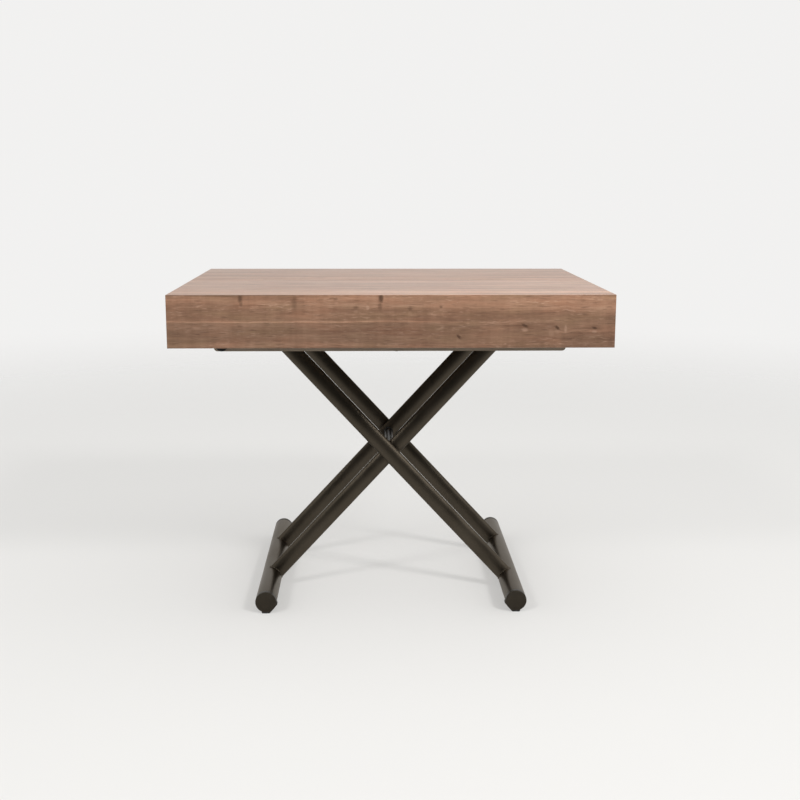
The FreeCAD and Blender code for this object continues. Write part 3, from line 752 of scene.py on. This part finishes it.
def dressBoards():
    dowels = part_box("alignment_dowels")
    middle = dowels[1].x - (dowels[1].z - dowels[0].z) / 2
    spots = (-middle, 0.0, middle)
    for half, facing in (("front", -2), ("rear", 2)):
        ends = ("mitre", "square") if half == "front" else ("square", "mitre")
        easedBoard(half + "_top_board", 3, ("mitre", "mitre", *ends), spots)
        easedBoard(half + "_apron", facing, ("mitre", "mitre", "square", "mitre"))
        for side, outward in (("left", -1), ("right", 1)):
            easedBoard("%s_%s_apron" % (half, side), outward, (*ends, "square", "mitre"))
    for leaf in ("front_leaf", "rear_leaf", "upper_leaf"):
        easedBoard(leaf, 3, ("square",) * 4)


dressBoards()
print("boards eased")


# foot caps: a disc with a chin that stands on its glide, and behind the face a small rib on the side
# towards the table's middle, carried along Y as rings. The profile runs from the middle of the dished
# face, over the bevelled rim, to the cap's back: inset, setback, and how much of the rib the ring has.
# A round is x towards the table's middle, height over the disc's middle, and radius
footCap = {
    "rib": (0.0226, -0.0048, 0.0048),
    "chin": (0.0093, -0.0260, 0.0008),
    "chinRoot": 0.0080,
    "sides": 144,
    "profile": [
        (0.0250, 0.0009, 0.0), (0.0120, 0.0009, 0.0), (0.0052, 0.0008, 0.0), (0.0046, 0.0005, 0.0),
        (0.0040, 0.0001, 0.0), (0.0018, 0.0000, 0.0), (0.0012, 0.0001, 0.0), (0.0005, 0.0006, 0.0),
        (0.0001, 0.0013, 0.0), (0.0000, 0.0020, 0.3), (0.0000, 0.0042, 1.0), (0.0000, 0.0134, 1.0),
        (0.0004, 0.0140, 1.0),
    ],
    "spigotInset": 0.00255,
    "spigotTaper": 0.96,
    "facings": 720,
    "leastSlope": 0.05,
    "sharp": 40.0,
}


# the tightest skin around some rounds: along each ray, the least of support over slope for all facings
def skinReach(rounds, ray):
    facing = fullTurn(footCap["facings"])
    normal = np.stack([np.cos(facing), np.sin(facing)], 1)
    support = (normal @ rounds[:, :2].T + rounds[:, 2]).max(1)
    slope, least = ray @ normal.T, footCap["leastSlope"]
    return np.where(slope > least, support / np.maximum(slope, least), np.inf).min(1)


# the larger reach, along each ray, of the disc with its straight inner side and of the chin
def capOutline(radius, inward, *rib):
    angle = fullTurn(footCap["sides"])
    ray = np.stack([np.cos(angle), np.sin(angle)], 1)
    mirror = np.array([inward, 1, 1])
    x, z, size = footCap["chin"]
    disc = np.array([(0, 0, radius), (x, z, size), *rib]) * mirror
    chin = np.array([(0, 0, footCap["chinRoot"]), (x, z, size), (-x, z, size)]) * mirror
    return np.maximum(skinReach(disc, ray), skinReach(chin, ray))[:, None] * ray


def footCapRings(node, outward):
    low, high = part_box(node)
    radius = (high.x - low.x) / 2
    centre = np.array([(low.x + high.x) / 2, (low.z + high.z) / 2])
    front, back = (low.y, high.y) if outward < 0 else (high.y, low.y)
    face = capOutline(radius, -np.sign(centre[0]))
    ribbed = capOutline(radius, -np.sign(centre[0]), footCap["rib"])
    inset, setback, ribShare = np.array(footCap["profile"]).T
    scale = (1 - inset / radius)[:, None, None]
    rings = centre + scale * (face + ribShare[:, None, None] * (ribbed - face))
    depth = front - outward * setback
    spigot = (radius - footCap["spigotInset"]) * face / np.linalg.norm(face, axis=1)[:, None]
    ends = [centre + share * spigot for share in (1.0, footCap["spigotTaper"], 0.0)]
    rings = np.concatenate([rings, ends])
    depth = np.concatenate([depth, [depth[-1], back, back]])
    points = np.stack([rings[..., 0], np.repeat(depth[:, None], len(face), 1), rings[..., 1]], -1)
    return points, gridFaces(*points.shape[:2])


for half, outward in (("front", -1), ("rear", 1)):
    for pair in ("outer", "inner"):
        node = "%s_cap_%s" % (pair, half)
        replaceNode(node, node + "Moulded", *footCapRings(node, outward), footCap["sharp"])
print("foot caps moulded")


# glides: a rounded pad under each chin, as rings of a rounded rectangle from the floor upwards
glidePad = {
    "round": 0.0025,
    "roundSteps": 6,
    "inset": (0.0095, 0.0010, 0.0004, 0.0000, 0.0000, 0.0095),
    "rise": (0.0, 0.0, 0.0003, 0.001, 0.0040, 0.0040),
    "sharp": 40.0,
}


def roundedRectangle(halfX, halfY, radius, steps):
    turn = np.linspace(0, math.pi / 2, steps)
    angle = np.concatenate([turn + quarter * math.pi / 2 for quarter in range(4)])
    x = np.repeat([1, -1, -1, 1], steps) * (halfX - radius) + radius * np.cos(angle)
    y = np.repeat([1, 1, -1, -1], steps) * (halfY - radius) + radius * np.sin(angle)
    return np.stack([x, y], 1)


def addGlides(pair):
    low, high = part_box(pair + "_glides")
    halfX, halfY = (high.x - low.x) / 2, (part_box(pair + "_foot_tube")[0].y - low.y) / 2
    outline = roundedRectangle(halfX, halfY, glidePad["round"], glidePad["roundSteps"])
    scale = np.maximum(1 - np.array(glidePad["inset"]) / halfX, 0)
    rings = scale[:, None, None] * outline
    height = np.repeat(np.array(glidePad["rise"])[:, None], len(outline), 1)
    pads = []
    for middle in (low.y + halfY, high.y - halfY):
        points = np.stack([rings[..., 0] + (low.x + high.x) / 2, rings[..., 1] + middle, height], -1)
        pads.append((points, gridFaces(*points.shape[:2])))
    replaceNode(pair + "_glides", pair + "GlidePads", *joined(pads), glidePad["sharp"])


for pair in ("outer", "inner"):
    addGlides(pair)
print("glides padded")


# arms: an ellipse carried along the line from the foot axis to the head axis. Across the ellipse, at an
# offset s from that line, the foot end lies at sqrt(R^2 - s^2) from the foot axis, on the tube of
# radius R; the head end lies at the larger of the head gap and the same curve for the head tube
arm = {"halfWidth": 0.020, "headGap": 0.008, "sides": 96, "rows": 25, "sharp": 30.0}


def armFrame(pair, place):
    foot, footHalf = middleOf(pair + "_foot_tube")
    head, headHalf = middleOf(pair + "_head_tube")
    middle, half = middleOf("%s_arm_%s" % (pair, place))
    along = head - foot
    length = np.linalg.norm(along)
    along = along / length
    side = np.array([along[2], 0.0, -along[0]])
    foot[1] = middle[1]
    return foot, along, side, length, half[1], footHalf[2], headHalf[2]


def armEnds(offset, length, footRadius, headRadius):
    low = np.sqrt(np.maximum(footRadius ** 2 - offset ** 2, 0))
    high = length - np.maximum(arm["headGap"], np.sqrt(np.maximum(headRadius ** 2 - offset ** 2, 0)))
    return low, high


def addArm(pair, place):
    foot, along, side, length, thick, footRadius, headRadius = armFrame(pair, place)
    sides = arm["sides"]
    angle = fullTurn(sides)
    offset = arm["halfWidth"] * np.cos(angle)
    low, high = armEnds(offset, length, footRadius, headRadius)
    share = np.linspace(0, 1, arm["rows"])[:, None]
    reach = low + (high - low) * share
    points = foot + reach[..., None] * along + (offset[:, None] * side)[None]
    points[..., 1] += thick * np.sin(angle)
    half, last = sides // 2, (arm["rows"] - 1) * sides
    here = np.arange(1, half - 1)
    there = sides - here
    strips = np.stack([here, here + 1, there - 1, there], 1)
    tips = np.array([(0, 1, sides - 1), (half - 1, half, half + 1)])
    faces = [*gridFaces(*points.shape[:2]), *strips, *tips, *(strips + last), *(tips + last)]
    node = "%s_arm_%s" % (pair, place)
    replaceNode(node, node + "Tube", points, faces, arm["sharp"])


# weld beads: a small ripple-edged circle carried along the curve where an arm meets a tube. A bead that
# isn't closed runs out at both ends: its width goes with sqrt(1 - place^taper), place from -1 to 1
weld = {
    "radius": 0.0017, "ripple": 0.10, "pitch": 0.0032, "taper": 8,
    "sides": 10, "steps": 260, "arcSteps": 65, "sharp": 60.0,
}


def weldBead(path, outward, closed):
    step = np.roll(path, -1, 0) - np.roll(path, 1, 0) if closed else np.gradient(path, axis=0)
    ahead = step / np.linalg.norm(step, axis=1)[:, None]
    across = np.cross(ahead, outward)
    run = np.concatenate([[0], np.cumsum(np.linalg.norm(np.diff(path, axis=0), axis=1))])
    waves = np.maximum(np.round(run[-1] / weld["pitch"]), 1)
    width = weld["radius"] * (1 + weld["ripple"] * np.sin(2 * math.pi * waves * run / run[-1]))
    if not closed:
        place = np.linspace(-1, 1, len(path))
        width = width * np.sqrt(np.maximum(1 - place ** weld["taper"], 0.0))
    turn = fullTurn(weld["sides"])
    ring = np.cos(turn)[None, :, None] * outward[:, None] + np.sin(turn)[None, :, None] * across[:, None]
    points = path[:, None] + width[:, None, None] * ring
    if closed:
        points = np.concatenate([points, points[:1]])
    return points.reshape(-1, 3), gridFaces(*points.shape[:2])


def armBeads(pair, place):
    foot, along, side, length, thick, footRadius, headRadius = armFrame(pair, place)

    def curve(angle, end):
        offset = arm["halfWidth"] * np.cos(angle)
        reach = armEnds(offset, length, footRadius, headRadius)[end]
        path = foot + reach[:, None] * along + offset[:, None] * side
        path[:, 1] += thick * np.sin(angle)
        outward = np.cos(angle)[:, None] / arm["halfWidth"] * side
        outward[:, 1] += np.sin(angle) / thick
        return path, outward / np.linalg.norm(outward, axis=1)[:, None]

    beads = [weldBead(*curve(fullTurn(weld["steps"]), 0), True)]
    span = math.asin(math.sqrt(headRadius ** 2 - arm["headGap"] ** 2) / arm["halfWidth"])
    for quarter in (math.pi / 2, -math.pi / 2):
        arc = np.linspace(quarter - span, quarter + span, weld["arcSteps"])
        beads.append(weldBead(*curve(arc, 1), False))
    return beads


for pair in ("outer", "inner"):
    for place in ("front", "rear"):
        addArm(pair, place)
    beads = joined(armBeads(pair, "front") + armBeads(pair, "rear"))
    addPiece(pair + "WeldBeads", *beads, pair + "_frame", "bronze_coat", plain["bronze_coat"], weld["sharp"])
print("arms and welds made")


# turned pieces: rings round an axis. Rows give the place along it and the radius. A third item makes the
# ring six-sided, with the radius that of its flats
def turned(rows, centre, axis, sides=72):
    turn = fullTurn(sides)
    sixSided = 1 / np.cos(turn % (math.pi / 3) - math.pi / 6)
    others = [index for index in range(3) if index != axis]
    points = np.zeros((len(rows), sides, 3)) + np.array(centre)
    for ring, (place, radius, *hexagon) in zip(points, rows):
        wide = radius * (sixSided if hexagon else 1.0)
        ring[:, axis] += place
        ring[:, others[0]] += wide * np.cos(turn)
        ring[:, others[1]] += wide * np.sin(turn)
    return points.reshape(-1, 3), gridFaces(len(rows), sides)


# release button: a dished head with a rounded rim on a shank, a flange behind the rail, and a stem. The
# dish's rows are shares of its depth and of the head's radius
button = {
    "dish": 0.0008, "dishRows": ((1.0, 0.0), (1.0, 0.55), (0.75, 0.70), (0.2, 0.80), (0.0, 0.85)),
    "rim": 0.0010, "rimSteps": 6, "head": 0.0030, "headEdge": 0.0004, "shank": 0.0060,
    "flange": 0.0075, "flangeLength": 0.0020, "stem": 0.0040, "stemLength": 0.0080, "stemEdge": 0.0005,
    "sharp": 35.0,
}


def addButton():
    spec = button
    low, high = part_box("release_button")
    middle, half = middleOf("release_button")
    radius, length = half[0], high.y - low.y
    rim, head, headEdge, shank = spec["rim"], spec["head"], spec["headEdge"], spec["shank"]
    flange, stem, stemEdge = spec["flange"], spec["stem"], spec["stemEdge"]
    flangeEnd = length - spec["stemLength"]
    flangeStart = flangeEnd - spec["flangeLength"]
    turn = np.linspace(0, math.pi / 2, spec["rimSteps"])
    rows = [(spec["dish"] * deep, radius * wide) for deep, wide in spec["dishRows"]]
    rows += [(rim * (1 - math.cos(t)), radius - rim * (1 - math.sin(t))) for t in turn]
    rows += [(head - headEdge, radius), (head, radius - headEdge), (head, shank)]
    rows += [(flangeStart, shank), (flangeStart, flange), (flangeEnd, flange), (flangeEnd, stem)]
    rows += [(length - stemEdge, stem), (length, stem - stemEdge), (length, 0)]
    shape = turned(rows, (middle[0], low.y, middle[2]), 1)
    replaceNode("release_button", "releaseButtonMoulded", *shape, spec["sharp"])


# strap screws: a domed head with a six-sided socket under each rail, and the shank above it
screw = {
    "head": 0.0045, "headHeight": 0.0025, "shank": 0.0025, "sides": 48, "sharp": 35.0,
    "socket": 0.0015, "socketDepth": 0.0012, "socketEdge": 0.0004,
    "dome": 0.0016, "domeShare": 0.52, "domeFrom": 0.5, "domeSteps": 6,
}


def addScrews():
    spec = screw
    low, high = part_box("strap_screws")
    middle = (low.x + high.x) / 2
    head, height, shank = spec["head"], spec["headHeight"], spec["shank"]
    socket, deep, share = spec["socket"], spec["socketDepth"], spec["domeShare"]
    top = high.z - low.z
    rows = [(deep, 0), (deep, socket, "hex"), (0, socket, "hex"), (0, socket + spec["socketEdge"])]
    for turn in np.linspace(spec["domeFrom"], math.pi / 2, spec["domeSteps"]):
        rows.append((spec["dome"] * (1 - math.cos(turn)), head * (1 - share + share * math.sin(turn))))
    rows += [(height, head), (height, shank), (top, shank), (top, 0)]
    spots = (low.y + head, high.y - head)
    shape = joined([turned(rows, (middle, y, low.z), 2, spec["sides"]) for y in spots])
    replaceNode("strap_screws", "strapScrewsTurned", *shape, spec["sharp"])


# gas spring: a hollow cylinder with a rolled rim, a groove and a neck, and a rod with its piston and a
# six-sided lock nut. Each ends in an eye round a head tube; the eye's profile is a closed loop
gasSpring = {
    "rod": 0.0050, "gland": 0.00505, "glandLength": 0.0120, "wall": 0.0020, "roll": 0.0035,
    "endRound": 0.0045, "roundSteps": 7,
    "groove": ((0.0135, 0.0), (0.0148, 0.0008), (0.0168, 0.0008), (0.0181, 0.0)),
    "neck": 0.0030, "neckInEye": 0.0020, "pistonLength": 0.0120, "pistonGap": 0.00008,
    "eyeWall": 0.0040, "eyeRound": 0.0014, "nut": 0.0075, "nutFrom": 0.0028, "nutLength": 0.0050,
    "sharp": 35.0,
}


def gasEye(centre, outside, halfWidth):
    inside, soft = outside - gasSpring["eyeWall"], gasSpring["eyeRound"]
    rows = [(halfWidth, inside + soft / 2), (halfWidth, outside - soft)]
    rows += [(halfWidth - soft / 3, outside - soft / 3), (halfWidth - soft, outside)]
    rows += [(-place, radius) for place, radius in reversed(rows)]
    rows += [(soft / 2 - halfWidth, inside), (halfWidth - soft / 2, inside), rows[0]]
    return turned(rows, centre, 1)


def addGasSpring():
    spec = gasSpring
    middle, half = middleOf("gas_cylinder")
    radius, outside, rod = half[1], half[2], spec["rod"]
    halfWidth = middleOf("gas_rod")[1][1]
    chamber, roll, soft = radius - spec["wall"], spec["roll"], spec["endRound"]

    def addEnd(node, name, rows, start, eyeAt):
        body = turned(rows, (start, middle[1], middle[2]), 0)
        eye = gasEye((eyeAt, middle[1], middle[2]), outside, halfWidth)
        replaceNode(node, name, *joined([body, eye]), spec["sharp"])

    low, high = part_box("gas_cylinder")
    gland, glandLength = spec["gland"], spec["glandLength"]
    end = high.x - 2 * outside - spec["neck"] - low.x
    neckEnd = end + spec["neck"] + spec["neckInEye"]
    turn = np.linspace(0, math.pi / 2, spec["roundSteps"])
    rows = [(end - glandLength, 0), (end - glandLength, chamber)]
    rows += [(glandLength, chamber), (glandLength, gland), (0, gland)]
    rows += [(roll * (1 - math.cos(t)), radius - roll * (1 - math.sin(t))) for t in turn]
    rows += [(place, radius - depth) for place, depth in spec["groove"]]
    rows += [(end - soft * (1 - math.sin(t)), radius - soft * (1 - math.cos(t))) for t in turn]
    rows += [(end, rod), (neckEnd, rod), (neckEnd, 0)]
    addEnd("gas_cylinder", "gasCylinderRolled", rows, low.x, high.x - outside)

    low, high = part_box("gas_rod")
    start = low.x + 2 * outside - spec["neckInEye"]
    nut, nutFrom = spec["nut"], spec["nutFrom"]
    nutEnd = nutFrom + spec["nutLength"]
    piston, pistonTo = chamber - spec["pistonGap"], high.x - start
    pistonFrom = pistonTo - spec["pistonLength"]
    rows = [(0, 0), (0, rod), (nutFrom, rod), (nutFrom, nut, "hex"), (nutEnd, nut, "hex"), (nutEnd, rod)]
    rows += [(pistonFrom, rod), (pistonFrom, piston), (pistonTo, piston), (pistonTo, 0)]
    addEnd("gas_rod", "gasRodTurned", rows, start, low.x + outside)


addButton()
addScrews()
addGasSpring()
print("button, screws and gas spring turned")


# studio: a pale floor that fades into the backdrop colour, soft light all round, brightest near the
# horizon and from the sides, and three soft lamps. Part of the floor's colour is seen as it is, so that
# its shadows stay faint; gloss sees the backdrop behind and beside the table, and a dimmer room in front
# of it. A span is where a change begins and where it is full: on the floor in metres, and in the room in
# parts of the direction looked in
studio = {
    "floorColour": (0.79, 0.78, 0.76),
    "floorSeen": (0.815, 0.812, 0.797),
    "seenShare": 0.42,
    "floorRough": 0.65,
    "floorGloss": 0.2,
    "floorSize": 14.0,
    "floorFadeSpan": (1.3, 5.5),
    "floorFrontSpan": (-0.7, -2.0),
    "backdrop": (0.885, 0.880, 0.872),
    "roomLight": (1.0, 1.0, 1.0),
    "horizon": 0.97,
    "zenith": 0.34,
    "heightSpan": (0.35, 0.95),
    "ahead": 0.70,
    "leftSide": 1.35,
    "leftSpan": (-0.25, -0.9),
    "rightSide": 1.65,
    "rightSpan": (0.25, 0.9),
    "frontGloss": 0.08,
    "frontGlossSpan": (-0.1, -0.95),
    "leftGloss": 0.80,
    "leftGlossSpan": (0.05, -0.45),
    "lamps": {
        "overhead": {"place": (0.3, 0.1, 3.2), "aim": (0.0, 0.0, 0.7), "size": 2.6, "power": 22.0},
        "leftSoft": {"place": (-3.3, -3.75, 4.0), "aim": (0.0, 0.0, 0.4), "size": 1.0, "power": 98.0},
        "rightSoft": {"place": (3.3, -3.75, 4.0), "aim": (0.0, 0.0, 0.4), "size": 1.0, "power": 156.0},
    },
}


def seenRays(tree):
    ray = addNode(tree, "ShaderNodeLightPath").outputs
    seen = calc(tree, "MAXIMUM", ray["Is Camera Ray"], ray["Is Glossy Ray"])
    return calc(tree, "MAXIMUM", seen, ray["Is Transmission Ray"]), ray["Is Glossy Ray"]


def mixShader(tree, amount, first, second):
    return addNode(tree, "ShaderNodeMixShader", {0: amount, 1: first, 2: second}).outputs[0]


def addFloor(spec):
    half = spec["floorSize"] / 2
    mesh = bpy.data.meshes.new("studioFloor")
    corners = [(-half, -half, 0), (half, -half, 0), (half, half, 0), (-half, half, 0)]
    mesh.from_pydata(corners, [], [(0, 1, 2, 3)])
    floor = bpy.data.objects.new("studioFloor", mesh)
    bpy.context.scene.collection.objects.link(floor)
    material, tree, shader = newMaterial("studioFloor")
    look = {"Base Color": (*spec["floorColour"], 1.0), "Roughness": spec["floorRough"]}
    feed(tree, shader.inputs, {**look, "Specular IOR Level": spec["floorGloss"]})
    seen, glossy = seenRays(tree)
    place = addNode(tree, "ShaderNodeTexCoord").outputs["Object"]
    inFront = remap(tree, splitVector(tree, place)[1], *spec["floorFrontSpan"])
    inFront = times(tree, times(tree, inFront, glossy), 1 - spec["frontGloss"])
    shown = addNode(tree, "ShaderNodeEmission", {"Color": (*spec["floorSeen"], 1.0)}).outputs[0]
    unlit = addNode(tree, "ShaderNodeEmission", {"Strength": 0.0}).outputs[0]
    surface = mixShader(tree, times(tree, seen, spec["seenShare"]), shader.outputs[0], shown)
    surface = mixShader(tree, inFront, surface, unlit)
    away = addNode(tree, "ShaderNodeVectorMath", {0: place}, operation="LENGTH").outputs["Value"]
    fade = remap(tree, away, *spec["floorFadeSpan"], smooth=True)
    fade = calc(tree, "MAXIMUM", fade, addNode(tree, "ShaderNodeNewGeometry").outputs["Backfacing"])
    clear = addNode(tree, "ShaderNodeBsdfTransparent").outputs[0]
    faded = mixShader(tree, fade, surface, clear)
    feed(tree, tree.nodes["Material Output"].inputs, {"Surface": faded})
    mesh.materials.append(material)


def addLamp(name, spec):
    light = bpy.data.lights.new(name, "AREA")
    light.shape = "SQUARE"
    light.size = spec["size"]
    light.energy = spec["power"]
    lamp = bpy.data.objects.new(name, light)
    aim = Vector(spec["aim"]) - Vector(spec["place"])
    lamp.matrix_world = Matrix.Translation(spec["place"]) @ aim.to_track_quat("-Z", "Y").to_matrix().to_4x4()
    bpy.context.scene.collection.objects.link(lamp)


def addWorld(spec):
    world = bpy.data.worlds.new("studioWorld")
    world.use_nodes = True
    bpy.context.scene.world = world
    tree = world.node_tree
    seen, glossy = seenRays(tree)
    towards = addNode(tree, "ShaderNodeTexCoord").outputs["Generated"]
    across, forward, upward = splitVector(tree, towards)
    frontDim = remap(tree, forward, *spec["frontGlossSpan"], 0.0, 1 - spec["frontGloss"], smooth=True)
    leftDim = remap(tree, across, *spec["leftGlossSpan"], 0.0, 1 - spec["leftGloss"], smooth=True)
    dimmer = times(tree, calc(tree, "MAXIMUM", frontDim, leftDim), glossy)
    dimmer = calc(tree, "SUBTRACT", 1.0, dimmer)
    height = calc(tree, "ABSOLUTE", upward)
    height = remap(tree, height, *spec["heightSpan"], spec["horizon"], spec["zenith"], smooth=True)
    leftward = remap(tree, across, *spec["leftSpan"], spec["ahead"], spec["leftSide"], smooth=True)
    rightward = remap(tree, across, *spec["rightSpan"], spec["ahead"], spec["rightSide"], smooth=True)
    room = times(tree, height, calc(tree, "MAXIMUM", leftward, rightward))
    strength = calc(tree, "MULTIPLY_ADD", calc(tree, "SUBTRACT", dimmer, room), seen, room)
    colour = mixColour(tree, seen, (*spec["roomLight"], 1.0), (*spec["backdrop"], 1.0))
    feed(tree, tree.nodes["Background"].inputs, {"Color": colour, "Strength": strength})


addFloor(studio)
for name, lamp in studio["lamps"].items():
    addLamp(name, lamp)
addWorld(studio)
bpy.context.scene.view_settings.view_transform = "Standard"
print("studio lit")
